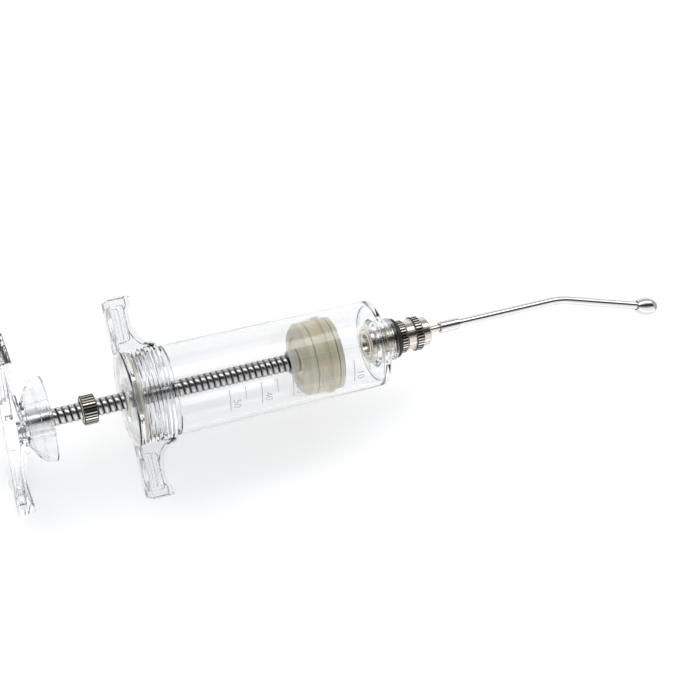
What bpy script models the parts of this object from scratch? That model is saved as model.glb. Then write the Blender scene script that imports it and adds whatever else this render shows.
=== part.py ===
"""Hand dosing syringe of 50 ml with a winged screw cap, a threaded plunger rod and a bent ball-tipped needle.

The syringe lies along the world X axis, with the liquid leaving towards +X and the cap's wings along Y. Each piece
is drawn in the syringe's own frame, where the wings stand along Z. Lengths are metres, and every place along the
axis is counted from the plane of the cap wings' back face.
"""

from math import asin, cos, pi, radians, sin, sqrt

import bmesh
import bpy
from mathutils import Matrix, Vector

GAP = 0.0003  # air left between pieces that touch
SIDES = 48  # facets round a large turned piece
SMALL_SIDES = 24  # facets round a small one
CUT_PAST = 0.005  # how far a cutter runs out of the piece

# Barrel
BORE_RADIUS = 0.0157
BARREL_RADIUS = 0.0175
BARREL_BACK = 0.0034
BARREL_END = 0.1021
END_WALL = 0.0018
EDGE_BREAK = 0.0006
NECK_END = 0.1094
NECK_RADIUS = 0.0087
NECK_ROOT_RADIUS = 0.0096
NECK_BORE_RADIUS = 0.0062

# Screw cap and its wings
CAP_RADIUS = 0.0200
CAP_BORE_RADIUS = 0.0179
CAP_LENGTH = 0.0142
CAP_WALL = 0.0020
CAP_PAD = 0.0003  # how far the round back stands behind the wings
WING_REACH = 0.0385
WING_WIDTH = 0.0190
WING_WAIST = 0.0063  # thickness where a finger lies
WING_LIP = 0.0080  # thickness at the tip
WING_WAIST_AT = 0.0310
LIP_HEIGHT = 0.0032
WING_ROUNDING = 0.0008
POCKET_DEPTH = 0.0030
POCKET_RIM = 0.0013

# Gasket and bush in the cap
GASKET_THICKNESS = 0.0008
BUSH_RADIUS = 0.0065
BUSH_FLANGE_RADIUS = 0.0085
BUSH_BACK = 0.0008
BUSH_FRONT = 0.0034

# Plunger rod and dose nut
ROD_RADIUS = 0.0035
ROD_HOLE_RADIUS = 0.0038
ROD_BACK = -0.0420
ROD_SHOULDER = 0.0682
STUD_RADIUS = 0.0026
STUD_END = 0.0805
STUD_HOLE_RADIUS = 0.0016
STUD_HOLE_DEPTH = 0.0085
NUT_BACK = -0.0176
NUT_LENGTH = 0.0055
NUT_RADIUS = 0.0059
NUT_CHAMFER = 0.0006
NUT_RING_RADIUS = 0.0048
NUT_RING_LENGTH = 0.0012

# Handle
HANDLE_BACK = -0.0474
HANDLE_TURN = radians(40)
BAR_REACH = 0.0365
BAR_THICKNESS = 0.0048
BAR_LIP = 0.0066
BAR_WAIST_AT = 0.0260
BAR_ROOT = (0.0080, 0.0070)  # front and reach of the arms where they meet the boss
BOSS_BACK = 0.0010
BOSS_RADIUS = 0.0072
BOSS_LENGTH = 0.0180
BELL_ROOT = 0.0077
BELL_SHOULDER = (0.0117, 0.0141)  # place and radius of the bell's shoulder
BELL_LENGTH = 0.0176
BELL_RADIUS = 0.0163
BELL_WALL = 0.0019
BELL_ROUNDING = 0.0006
INSERT_RADIUS = 0.0050
INSERT_BACK = 0.0053
INSERT_LENGTH = 0.0127

# Piston, from back to front
PISTON_NUT_BACK = 0.0648
PISTON_NUT_RADIUS = 0.0048
PISTON_BACK = 0.0685
PLATE_RADIUS = 0.0146
BACK_PLATE = 0.0036
PLATE_BEVEL = (0.0012, 0.0016)  # depth and width of the back plate's bevel
PLATE_EDGE = 0.0008
SEAL_LENGTH = 0.0088
SEAL_RADIUS = 0.0146
LIP_RADIUS = 0.0155
LIP_THICKNESS = 0.0013
FRONT_PLATE = 0.0022
PLATE_HOLE_RADIUS = 0.0029
SCREW_HEAD_RADIUS = 0.0036
SCREW_HEAD_HEIGHT = 0.0014
SCREW_RADIUS = 0.0013
SCREW_LENGTH = 0.0075

# Nose fitting, lock collar and needle
NOSE_BACK = 0.0980
NOSE_SHANK_RADIUS = 0.0059
NOSE_WAIST_RADIUS = 0.0049  # the fitting inside its gasket
NOSE_MOUTH = ((0.0, 0.0042), (0.0020, 0.0036))  # depth and radius of the funnel at the fitting's back
NOSE_FUNNEL = 0.0030
NOSE_NUT_RADIUS = 0.0078
NOSE_NUT_LENGTH = 0.0019
NOSE_RING = (0.1114, 0.1143)
NOSE_RING_RADIUS = 0.0069
KNURL_EDGE = 0.0003
NOSE_TIP = 0.1208
CONE_RADII = (0.0022, 0.0020)
NOSE_BORE_RADIUS = 0.0011
NOSE_SPIGOT = (0.0034, 0.1161)  # radius and end of the spigot that the collar turns on
COLLAR_BACK = 0.1146
COLLAR_GROOVE_END = 0.1180
COLLAR_GROOVE_RADIUS = 0.0067
COLLAR_END = 0.1213
COLLAR_RADIUS = 0.0072
COLLAR_THREAD_RADIUS = 0.0050
HUB_FLANGE = (0.1216, 0.1252)
HUB_FLANGE_RADIUS = 0.0061
HUB_FLANGE_ROUNDING = 0.0010
HUB_BACK = 0.1164
HUB_RADIUS = 0.0034
LUG_RADIUS = 0.0044
LUG_LENGTH = 0.0012
HUB_CONE_RADIUS = 0.0026
HUB_CONE_TIP_RADIUS = 0.0024
HUB_CONE_END = 0.1214
STEM_RADIUS = 0.0015
STEM_END = 0.1320
FERRULE = (0.1308, 0.1395)
FERRULE_RADIUS = 0.0026
TUBE_BACK = 0.1323
TUBE_RADIUS = 0.00183
TUBE_WALL = 0.0005
BEND_AT = 0.1870
BEND_ANGLE = radians(15.7)
BEND_RADIUS = 0.036
BALL_FROM_BEND = 0.04135
BALL_LENGTH = 0.0094
BALL_RADIUS = 0.0040
BALL_END_RADIUS = 0.0023
BALL_SOCKET_DEPTH = 0.0042
BALL_OUTLET_RADIUS = 0.0010

PLASTIC, METAL = 0.0, 1.0


def clear_scene():
    for old in list(bpy.data.objects):
        bpy.data.objects.remove(old, do_unlink=True)


def collection(name):
    made = bpy.data.collections.new(name)
    bpy.context.scene.collection.children.link(made)
    return made


def material(name, colour, roughness, metallic, alpha=1.0):
    made = bpy.data.materials.new(name)
    made.use_nodes = True
    shader = made.node_tree.nodes["Principled BSDF"]
    shader.inputs["Base Color"].default_value = (*colour, 1.0)
    shader.inputs["Roughness"].default_value = roughness
    shader.inputs["Metallic"].default_value = metallic
    shader.inputs["Alpha"].default_value = alpha
    return made


def axis_empty(name, x, parent=None):
    """An empty on the syringe's axis. Pieces that move together hang on one."""
    made = bpy.data.objects.new(name, None)
    PARTS.objects.link(made)
    made.location = (x, 0, 0)
    made.parent = parent
    return made


def place(obj, group, finish):
    PARTS.objects.link(obj)
    obj.parent = group
    if finish:
        obj.data.materials.append(finish)
    return obj


def as_helper(obj):
    """Makes obj a cutter or a guide, which isn't a piece of the syringe."""
    PARTS.objects.unlink(obj)
    HELPERS.objects.link(obj)
    obj.hide_render = True
    obj.display_type = "WIRE"
    return obj


def turned(name, profile, group, finish=None, sides=SIDES, ring=True):
    """Turns a profile of (place along the axis, radius) about X.

    The profile runs backwards along the outside and forwards along the inside. A ring's profile is a loop.
    """
    mesh = bpy.data.meshes.new(name)
    count = len(profile)
    edges = [(i, i + 1) for i in range(count - 1)]
    if ring:
        edges.append((count - 1, 0))
    mesh.from_pydata([(radius, 0, x) for x, radius in profile], edges, [])
    obj = place(bpy.data.objects.new(name, mesh), group, finish)
    obj.rotation_euler = (0, pi / 2, 0)
    screw = obj.modifiers.new("turn", "SCREW")
    screw.axis = "Z"
    screw.steps = screw.render_steps = sides
    screw.use_merge_vertices = True
    screw.merge_threshold = 0.00001
    screw.use_smooth_shade = True
    return obj


def washer(name, back, front, inner, outer, group, finish, sides=SIDES, chamfer=0.0):
    """A plain ring, with its outer corners broken by the chamfer."""
    if chamfer:
        outside = [
            (front, outer - chamfer),
            (front - chamfer, outer),
            (back + chamfer, outer),
            (back, outer - chamfer),
        ]
    else:
        outside = [(front, outer), (back, outer)]
    profile = [*outside, (back, inner), (front, inner)]
    return turned(name, profile, group, finish, sides)


def boolean(obj, other, operation):
    step = obj.modifiers.new(other.name, "BOOLEAN")
    step.operation = operation
    step.object = other


def arm_front(waist, waist_at, tip, tip_at, root, root_at, points=7):
    """The hollowed front of an arm, from its tip in to its root, as (x, z) points.

    A shallow arc rises from the waist to the tip's lip, and a quarter ellipse rises to the root.
    """
    rise = tip - waist
    radius = (rise**2 + (tip_at - waist_at) ** 2) / (2 * rise)
    front = []
    for i in range(points):
        z = tip_at + (waist_at - tip_at) * i / points
        front.append((waist + radius - sqrt(radius**2 - (z - waist_at) ** 2), z))
    for i in range(points + 1):
        turn = pi / 2 * i / points
        x = waist + (root - waist) * (1 - cos(turn))
        front.append((x, waist_at + (root_at - waist_at) * sin(turn)))
    return front


def wing_bar(name, reach, waist, waist_at, lip, root, root_at, group):
    """A bar with a flat back and two hollowed arms, as a solid across the axis."""
    arm = arm_front(waist, waist_at, lip, reach - LIP_HEIGHT, root, root_at)
    half = [(0, reach), (lip, reach), *arm]
    outline = half + [(x, -z) for x, z in reversed(half)]
    curve = bpy.data.curves.new(name, "CURVE")
    curve.dimensions = "2D"
    curve.fill_mode = "BOTH"
    curve.extrude = WING_WIDTH / 2 - WING_ROUNDING
    curve.bevel_depth = WING_ROUNDING
    curve.offset = -WING_ROUNDING
    curve.bevel_resolution = 1
    spline = curve.splines.new("POLY")
    spline.points.add(len(outline) - 1)
    for point, (x, z) in zip(spline.points, outline):
        point.co = (x, z, 0, 1)
    spline.use_cyclic_u = True
    flat = bpy.data.objects.new(name + "_outline", curve)
    PARTS.objects.link(flat)
    flat.parent = group
    flat.rotation_euler = (pi / 2, 0, 0)
    solid = solid_of_curve(name, flat)
    solid.parent = group
    solid.matrix_parent_inverse = group.matrix_world.inverted()
    return as_helper(solid)


def solid_of_curve(name, curve_object):
    """A mesh object with a curve's evaluated shape, in the curve's place."""
    bpy.context.view_layer.update()
    graph = bpy.context.evaluated_depsgraph_get()
    mesh = bpy.data.meshes.new_from_object(curve_object.evaluated_get(graph))
    shape = bmesh.new()
    shape.from_mesh(mesh)
    bmesh.ops.remove_doubles(shape, verts=shape.verts, dist=0.00001)
    bmesh.ops.recalc_face_normals(shape, faces=shape.faces)
    shape.to_mesh(mesh)
    shape.free()
    solid = bpy.data.objects.new(name, mesh)
    PARTS.objects.link(solid)
    solid.matrix_world = curve_object.matrix_world
    bpy.data.objects.remove(curve_object, do_unlink=True)
    return solid


def block(name, low, high, group):
    """A box between two corners, as a cutter."""
    mesh = bpy.data.meshes.new(name)
    shape = bmesh.new()
    bmesh.ops.create_cube(shape, size=1)
    size = Vector(high) - Vector(low)
    bmesh.ops.scale(shape, vec=size, verts=shape.verts)
    bmesh.ops.translate(shape, vec=(Vector(high) + Vector(low)) / 2, verts=shape.verts)
    shape.to_mesh(mesh)
    shape.free()
    return as_helper(place(bpy.data.objects.new(name, mesh), group, None))


def side_pockets(obj, name, back, front, inner_z, outer_z, group):
    """Sinks a panel into both sides of both arms of a winged piece."""
    floor = WING_WIDTH / 2 - POCKET_DEPTH
    past = WING_WIDTH
    for arm in (1, -1):
        for side in (1, -1):
            ys = sorted((side * floor, side * past))
            zs = sorted((arm * inner_z, arm * outer_z))
            cutter = block(name, (back, ys[0], zs[0]), (front, ys[1], zs[1]), group)
            boolean(obj, cutter, "DIFFERENCE")


def make_barrel(group):
    outside = [
        (NECK_END, NECK_RADIUS),
        (BARREL_END, NECK_ROOT_RADIUS),
        (BARREL_END, BARREL_RADIUS - EDGE_BREAK),
        (BARREL_END - EDGE_BREAK, BARREL_RADIUS),
        (BARREL_BACK, BARREL_RADIUS),
    ]
    inside = [
        (BARREL_BACK, BORE_RADIUS),
        (BARREL_END - END_WALL, BORE_RADIUS),
        (BARREL_END - END_WALL, NECK_BORE_RADIUS),
        (NECK_END, NECK_BORE_RADIUS),
    ]
    turned("barrel", outside + inside, group, CLEAR)


def make_cap(group):
    body = [
        (CAP_LENGTH, 0),
        (CAP_LENGTH, CAP_RADIUS - EDGE_BREAK),
        (CAP_LENGTH - EDGE_BREAK, CAP_RADIUS),
        (-CAP_PAD + EDGE_BREAK, CAP_RADIUS),
        (-CAP_PAD, CAP_RADIUS - EDGE_BREAK),
        (-CAP_PAD, 0),
    ]
    cap = turned("rear_cap", body, group, CLEAR, ring=False)
    wings = wing_bar(
        "cap_wings",
        WING_REACH,
        WING_WAIST,
        WING_WAIST_AT,
        WING_LIP,
        CAP_LENGTH - 1.5 * EDGE_BREAK,
        CAP_RADIUS - 2 * EDGE_BREAK,
        group,
    )
    boolean(cap, wings, "UNION")
    hollow = [
        (CAP_LENGTH + CUT_PAST, 0),
        (CAP_LENGTH + CUT_PAST, CAP_BORE_RADIUS),
        (CAP_WALL, CAP_BORE_RADIUS),
        (CAP_WALL, BUSH_RADIUS + GAP),
        (-CUT_PAST, BUSH_RADIUS + GAP),
        (-CUT_PAST, 0),
    ]
    cutter = as_helper(turned("cap_hollow", hollow, group, ring=False))
    boolean(cap, cutter, "DIFFERENCE")
    side_pockets(
        cap,
        "wing_pocket",
        POCKET_RIM,
        WING_WAIST - POCKET_RIM,
        CAP_RADIUS + POCKET_RIM,
        WING_REACH - LIP_HEIGHT,
        group,
    )


def make_cap_fittings(group):
    seat = CAP_WALL + GAP
    washer(
        "cap_gasket",
        seat,
        seat + GASKET_THICKNESS,
        BORE_RADIUS + GAP,
        BARREL_RADIUS,
        group,
        RUBBER,
    )
    bush = [
        (BUSH_FRONT, BUSH_FLANGE_RADIUS),
        (CAP_WALL + GAP, BUSH_FLANGE_RADIUS),
        (CAP_WALL + GAP, BUSH_RADIUS),
        (-BUSH_BACK, BUSH_RADIUS),
        (-BUSH_BACK, ROD_HOLE_RADIUS),
        (BUSH_FRONT, ROD_HOLE_RADIUS),
    ]
    turned("rod_guide_bush", bush, group, NYLON, SMALL_SIDES)


def make_piston(group):
    washer(
        "piston_back_nut",
        PISTON_NUT_BACK,
        PISTON_BACK - GAP,
        ROD_HOLE_RADIUS,
        PISTON_NUT_RADIUS,
        group,
        NYLON,
        SMALL_SIDES,
        NUT_CHAMFER,
    )
    back_front = PISTON_BACK + BACK_PLATE
    bevel_depth, bevel_width = PLATE_BEVEL
    plate = [
        (back_front, PLATE_RADIUS),
        (PISTON_BACK + bevel_depth, PLATE_RADIUS),
        (PISTON_BACK, PLATE_RADIUS - bevel_width),
        (PISTON_BACK, PLATE_HOLE_RADIUS),
        (back_front, PLATE_HOLE_RADIUS),
    ]
    turned("piston_back_plate", plate, group, IVORY)
    make_seal(back_front + GAP, group)
    front_back = back_front + SEAL_LENGTH + 2 * GAP
    front = front_back + FRONT_PLATE
    head_seat = front - SCREW_HEAD_HEIGHT - GAP
    plate = [
        (front, PLATE_RADIUS - PLATE_EDGE),
        (front - PLATE_EDGE, PLATE_RADIUS),
        (front_back, PLATE_RADIUS),
        (front_back, PLATE_HOLE_RADIUS),
        (head_seat, PLATE_HOLE_RADIUS),
        (head_seat, SCREW_HEAD_RADIUS + GAP),
        (front, SCREW_HEAD_RADIUS + GAP),
    ]
    turned("piston_front_plate", plate, group, IVORY)
    screw = [
        (front, 0),
        (front, SCREW_HEAD_RADIUS - KNURL_EDGE),
        (front - KNURL_EDGE, SCREW_HEAD_RADIUS),
        (front - SCREW_HEAD_HEIGHT, SCREW_HEAD_RADIUS),
        (front - SCREW_HEAD_HEIGHT, SCREW_RADIUS),
        (front - SCREW_LENGTH, SCREW_RADIUS),
        (front - SCREW_LENGTH, 0),
    ]
    turned("piston_screw", screw, group, STEEL, SMALL_SIDES, ring=False)


def make_seal(back, group):
    """The rubber piston: a thick ring with a sealing lip near its front and a shallow groove behind it."""
    front = back + SEAL_LENGTH
    lip_front = front - 1.5 * LIP_THICKNESS
    lip_back = lip_front - LIP_THICKNESS
    groove = SEAL_RADIUS - LIP_THICKNESS / 2
    seal = [
        (front, SEAL_RADIUS),
        (lip_front, SEAL_RADIUS),
        (lip_front - LIP_THICKNESS / 4, LIP_RADIUS),
        (lip_back + LIP_THICKNESS / 4, LIP_RADIUS),
        (lip_back, groove),
        (lip_back - LIP_THICKNESS, groove),
        (lip_back - 2 * LIP_THICKNESS, SEAL_RADIUS),
        (back, SEAL_RADIUS),
        (back, PLATE_HOLE_RADIUS),
        (front, PLATE_HOLE_RADIUS),
    ]
    turned("piston_seal", seal, group, SILICONE)


def make_rod(group):
    """The rod, with its stud through the piston and a blind hole for the piston's screw."""
    hole_end = STUD_END - STUD_HOLE_DEPTH
    rod = [
        (hole_end, 0),
        (hole_end, STUD_HOLE_RADIUS),
        (STUD_END, STUD_HOLE_RADIUS),
        (STUD_END, STUD_RADIUS),
        (ROD_SHOULDER, STUD_RADIUS),
        (ROD_SHOULDER, ROD_RADIUS),
        (ROD_BACK, ROD_RADIUS),
        (ROD_BACK, 0),
    ]
    turned("plunger_rod", rod, group, STEEL, SMALL_SIDES, ring=False)


def make_handle(group):
    """The T-handle: two hollowed arms, a boss for the rod and a round bell about the boss, open to the front."""
    shoulder, shoulder_radius = BELL_SHOULDER
    outside = [
        (BELL_LENGTH, BELL_RADIUS),
        (shoulder + 3 * BELL_ROUNDING, BELL_RADIUS - BELL_ROUNDING),
        (shoulder + BELL_ROUNDING, shoulder_radius + BELL_ROUNDING),
        (shoulder, shoulder_radius),
        (BELL_ROOT, BOSS_RADIUS),
        (BOSS_BACK, BOSS_RADIUS),
        (BOSS_BACK, 0),
    ]
    inside = [
        (BOSS_LENGTH, 0),
        (BOSS_LENGTH, BOSS_RADIUS),
        (BELL_ROOT + BELL_WALL, BOSS_RADIUS),
        (shoulder + 2 * BELL_ROUNDING, shoulder_radius - BELL_WALL + BELL_ROUNDING),
        (shoulder + 5 * BELL_ROUNDING, BELL_RADIUS - BELL_WALL - BELL_ROUNDING),
        (BELL_LENGTH, BELL_RADIUS - BELL_WALL),
    ]
    hub = turned("handle", inside + outside, group, CLEAR, ring=False)
    bar = wing_bar("handle_bar", BAR_REACH, BAR_THICKNESS, BAR_WAIST_AT, BAR_LIP, *BAR_ROOT, group)
    boolean(hub, bar, "UNION")
    bore = [
        (BOSS_LENGTH + CUT_PAST, 0),
        (BOSS_LENGTH + CUT_PAST, INSERT_RADIUS + GAP),
        (INSERT_BACK - GAP, INSERT_RADIUS + GAP),
        (INSERT_BACK - GAP, 0),
    ]
    cutter = as_helper(turned("handle_bore", bore, group, ring=False))
    boolean(hub, cutter, "DIFFERENCE")
    washer(
        "handle_insert",
        INSERT_BACK,
        INSERT_BACK + INSERT_LENGTH,
        ROD_HOLE_RADIUS,
        INSERT_RADIUS,
        group,
        STEEL,
        SMALL_SIDES,
        KNURL_EDGE,
    )


def make_dose_nut(group):
    """The knurled nut, with a recess in its back for the nylon ring that holds its setting."""
    recess = NUT_RING_LENGTH + GAP
    nut = [
        (NUT_LENGTH, NUT_RADIUS - NUT_CHAMFER),
        (NUT_LENGTH - NUT_CHAMFER, NUT_RADIUS),
        (NUT_CHAMFER, NUT_RADIUS),
        (0, NUT_RADIUS - NUT_CHAMFER),
        (0, NUT_RING_RADIUS + GAP),
        (recess, NUT_RING_RADIUS + GAP),
        (recess, ROD_HOLE_RADIUS),
        (NUT_LENGTH, ROD_HOLE_RADIUS),
    ]
    turned("dose_nut", nut, group, NICKEL)


def make_dose_nut_ring(group):
    washer(
        "dose_nut_ring",
        0,
        NUT_RING_LENGTH,
        ROD_HOLE_RADIUS,
        NUT_RING_RADIUS,
        group,
        NYLON,
        SMALL_SIDES,
    )


def make_nose(group):
    """The metal nose: a shank in the barrel's neck, a knurled ring, a spigot and the cone that the needle sits on."""
    ring_back, ring_front = NOSE_RING
    spigot_radius, spigot_end = NOSE_SPIGOT
    nose = [
        (NOSE_TIP, CONE_RADII[1]),
        (spigot_end, CONE_RADII[0]),
        (spigot_end, spigot_radius),
        (ring_front, spigot_radius),
        (ring_front, NOSE_RING_RADIUS - KNURL_EDGE),
        (ring_front - KNURL_EDGE, NOSE_RING_RADIUS),
        (ring_back + KNURL_EDGE, NOSE_RING_RADIUS),
        (ring_back, NOSE_RING_RADIUS - KNURL_EDGE),
        (ring_back, NOSE_WAIST_RADIUS),
        (NECK_END, NOSE_WAIST_RADIUS),
        (NECK_END - EDGE_BREAK, NOSE_SHANK_RADIUS),
        (NOSE_BACK + KNURL_EDGE, NOSE_SHANK_RADIUS),
        (NOSE_BACK, NOSE_SHANK_RADIUS - KNURL_EDGE),
        *[(NOSE_BACK + depth, radius) for depth, radius in NOSE_MOUTH],
        (NOSE_BACK + NOSE_FUNNEL, NOSE_BORE_RADIUS),
        (NOSE_TIP, NOSE_BORE_RADIUS),
    ]
    turned("nose_fitting", nose, group, NICKEL)
    floor = BARREL_END - END_WALL
    washer(
        "nose_nut",
        floor - GAP - NOSE_NUT_LENGTH,
        floor - GAP,
        NOSE_SHANK_RADIUS + GAP,
        NOSE_NUT_RADIUS,
        group,
        NICKEL,
        SIDES,
        KNURL_EDGE,
    )
    washer(
        "nose_gasket",
        NECK_END + GAP,
        ring_back - GAP,
        NOSE_WAIST_RADIUS + GAP,
        NECK_RADIUS - EDGE_BREAK,
        group,
        RUBBER,
    )


def make_collar(group):
    spigot_radius, spigot_end = NOSE_SPIGOT
    collar = [
        (COLLAR_END, COLLAR_RADIUS - KNURL_EDGE),
        (COLLAR_END - KNURL_EDGE, COLLAR_RADIUS),
        (COLLAR_GROOVE_END + KNURL_EDGE, COLLAR_RADIUS),
        (COLLAR_GROOVE_END, COLLAR_GROOVE_RADIUS),
        (COLLAR_BACK, COLLAR_GROOVE_RADIUS),
        (COLLAR_BACK, spigot_radius + GAP),
        (spigot_end, spigot_radius + GAP),
        (spigot_end, COLLAR_THREAD_RADIUS),
        (COLLAR_END, COLLAR_THREAD_RADIUS),
    ]
    turned("lock_collar", collar, group, NICKEL)


def make_needle_hub(group):
    flange_back, flange_front = HUB_FLANGE
    rounding = HUB_FLANGE_ROUNDING
    corner = [
        (
            flange_front - rounding + rounding * cos(t),
            HUB_FLANGE_RADIUS - rounding + rounding * sin(t),
        )
        for t in (radians(15), radians(45), radians(75))
    ]
    hub = [
        (STEM_END, STEM_RADIUS),
        (flange_front, STEM_RADIUS),
        *corner,
        (flange_back, HUB_FLANGE_RADIUS),
        (flange_back, HUB_RADIUS),
        (HUB_BACK + LUG_LENGTH, HUB_RADIUS),
        (HUB_BACK + LUG_LENGTH, LUG_RADIUS),
        (HUB_BACK, LUG_RADIUS),
        (HUB_BACK, HUB_CONE_RADIUS),
        (HUB_CONE_END, HUB_CONE_TIP_RADIUS),
        (HUB_CONE_END, NOSE_BORE_RADIUS),
        (STEM_END, NOSE_BORE_RADIUS),
    ]
    turned("needle_hub", hub, group, NICKEL, SMALL_SIDES)


def make_ferrule(group):
    back, front = FERRULE
    stem_hole = STEM_RADIUS + GAP
    tube_hole = TUBE_RADIUS + GAP
    ferrule = [
        (front, FERRULE_RADIUS - KNURL_EDGE),
        (front - KNURL_EDGE, FERRULE_RADIUS),
        (back + KNURL_EDGE, FERRULE_RADIUS),
        (back, FERRULE_RADIUS - KNURL_EDGE),
        (back, stem_hole),
        (STEM_END, stem_hole),
        (STEM_END, tube_hole),
        (front, tube_hole),
    ]
    turned("needle_ferrule", ferrule, group, STEEL, SMALL_SIDES)


def bent_route(bend_steps=8):
    """The needle's centreline: straight, one bend down towards -Z, and straight again."""
    tangent = BEND_RADIUS * sin(BEND_ANGLE / 2) / cos(BEND_ANGLE / 2)
    bend_start = BEND_AT - tangent
    route = [(TUBE_BACK, 0.0)]
    for i in range(bend_steps + 1):
        turn = BEND_ANGLE * i / bend_steps
        route.append(
            (
                bend_start + BEND_RADIUS * sin(turn),
                -BEND_RADIUS * (1 - cos(turn)),
            )
        )
    reach = BALL_FROM_BEND - BALL_LENGTH / 2 + BALL_SOCKET_DEPTH - GAP
    route.append((BEND_AT + reach * cos(BEND_ANGLE), -reach * sin(BEND_ANGLE)))
    return route


def make_tube(group):
    """A thin-walled tube: an open skin along the route, thickened inwards."""
    curve = bpy.data.curves.new("needle_tube", "CURVE")
    curve.dimensions = "3D"
    curve.bevel_depth = TUBE_RADIUS
    curve.bevel_resolution = 4
    curve.use_fill_caps = False
    spline = curve.splines.new("POLY")
    route = bent_route()
    spline.points.add(len(route) - 1)
    for point, (x, z) in zip(spline.points, route):
        point.co = (x, 0, z, 1)
    line = bpy.data.objects.new("needle_line", curve)
    PARTS.objects.link(line)
    line.parent = group
    tube = solid_of_curve("needle_tube", line)
    tube.parent = group
    tube.matrix_parent_inverse = group.matrix_world.inverted()
    tube.data.materials.append(STEEL)
    wall = tube.modifiers.new("wall", "SOLIDIFY")
    wall.thickness = TUBE_WALL
    wall.offset = -1


def make_ball(group):
    """The ball tip, turned about the bent part of the needle."""
    half = BALL_LENGTH / 2
    full = asin(BALL_END_RADIUS / BALL_RADIUS)
    side = [
        (
            half * cos(full + (pi - 2 * full) * i / 8) / cos(full),
            BALL_RADIUS * sin(full + (pi - 2 * full) * i / 8),
        )
        for i in range(9)
    ]
    socket = TUBE_RADIUS + GAP
    socket_end = -half + BALL_SOCKET_DEPTH
    inside = [
        (-half, socket),
        (socket_end, socket),
        (socket_end, BALL_OUTLET_RADIUS),
        (half, BALL_OUTLET_RADIUS),
    ]
    ball = turned("needle_ball", side + inside, group, STEEL, SMALL_SIDES)
    x = BEND_AT + BALL_FROM_BEND * cos(BEND_ANGLE)
    z = -BALL_FROM_BEND * sin(BEND_ANGLE)
    turn = Matrix.Rotation(BEND_ANGLE, 4, "Y") @ Matrix.Rotation(pi / 2, 4, "Y")
    ball.matrix_local = Matrix.Translation((x, 0, z)) @ turn


def middle_of_length():
    """The middle of the syringe's length, which is the world's origin."""
    front = BEND_AT + (BALL_FROM_BEND + BALL_LENGTH / 2) * cos(BEND_ANGLE)
    return (front + BALL_END_RADIUS * sin(BEND_ANGLE) + HANDLE_BACK) / 2


clear_scene()
PARTS = collection("dosing_syringe")
HELPERS = collection("cutters")

CLEAR = material("clear plastic", (0.93, 0.95, 0.96), 0.05, PLASTIC, 0.35)
IVORY = material("ivory plastic", (0.86, 0.82, 0.70), 0.35, PLASTIC)
SILICONE = material("ivory silicone", (0.82, 0.78, 0.66), 0.45, PLASTIC)
NYLON = material("white nylon", (0.80, 0.79, 0.76), 0.40, PLASTIC)
RUBBER = material("dark rubber", (0.05, 0.05, 0.05), 0.60, PLASTIC)
STEEL = material("stainless steel", (0.62, 0.61, 0.59), 0.18, METAL)
NICKEL = material("nickel plating", (0.66, 0.63, 0.58), 0.22, METAL)

syringe = axis_empty("syringe", -middle_of_length())
syringe.rotation_euler = (-pi / 2, 0, 0)
bpy.context.view_layer.update()
make_barrel(syringe)
make_cap(syringe)
make_cap_fittings(syringe)
make_nose(syringe)

piston = axis_empty("piston_axis", 0, syringe)
make_piston(piston)

plunger = axis_empty("plunger_axis", 0, syringe)
make_rod(plunger)
handle_axis = axis_empty("handle_axis", HANDLE_BACK, plunger)
handle_axis.rotation_euler = (HANDLE_TURN, 0, 0)
bpy.context.view_layer.update()
make_handle(handle_axis)

nut_axis = axis_empty("dose_nut_axis", NUT_BACK, plunger)
make_dose_nut(nut_axis)
make_dose_nut_ring(nut_axis)

collar_axis = axis_empty("collar_axis", 0, syringe)
make_collar(collar_axis)

needle_axis = axis_empty("needle_axis", 0, syringe)
bpy.context.view_layer.update()
make_needle_hub(needle_axis)
make_ferrule(needle_axis)
make_tube(needle_axis)
make_ball(needle_axis)
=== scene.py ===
"""A hand dosing syringe of 50 ml, on a pale floor.

Each piece is drawn in the frame's own place, with +X towards the needle. In the sections of turned pieces, lengths
along the syringe are counted in millimetres from the plane of the cap wings' back face, and radii from its axis.
"""

from math import asin, cos, pi, radians, sin, sqrt, tan

import bmesh
import bpy
from mathutils import Matrix, Vector


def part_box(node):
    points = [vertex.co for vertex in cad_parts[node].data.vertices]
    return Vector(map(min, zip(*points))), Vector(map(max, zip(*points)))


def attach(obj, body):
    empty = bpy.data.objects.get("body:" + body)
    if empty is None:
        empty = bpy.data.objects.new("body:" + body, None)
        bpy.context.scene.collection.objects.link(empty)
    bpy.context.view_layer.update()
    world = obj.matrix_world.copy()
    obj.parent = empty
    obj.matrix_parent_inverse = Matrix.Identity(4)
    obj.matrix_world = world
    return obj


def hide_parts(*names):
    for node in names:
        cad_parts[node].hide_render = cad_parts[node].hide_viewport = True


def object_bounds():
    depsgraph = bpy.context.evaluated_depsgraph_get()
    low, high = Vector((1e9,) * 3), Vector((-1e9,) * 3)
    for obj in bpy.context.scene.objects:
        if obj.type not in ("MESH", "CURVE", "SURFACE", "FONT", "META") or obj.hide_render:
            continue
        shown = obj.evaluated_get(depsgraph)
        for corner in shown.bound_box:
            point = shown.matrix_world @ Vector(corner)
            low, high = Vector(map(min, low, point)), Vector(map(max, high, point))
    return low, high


bl_info = {
    "name": "Dosing Syringe",
    "version": (1, 0, 0),
    "blender": (4, 5, 0),
    "location": "3D View > Sidebar > Syringe",
    "description": "Builds a clear 50 ml dosing syringe with its threads, knurls, scale and needle",
    "category": "Add Mesh",
}

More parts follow.
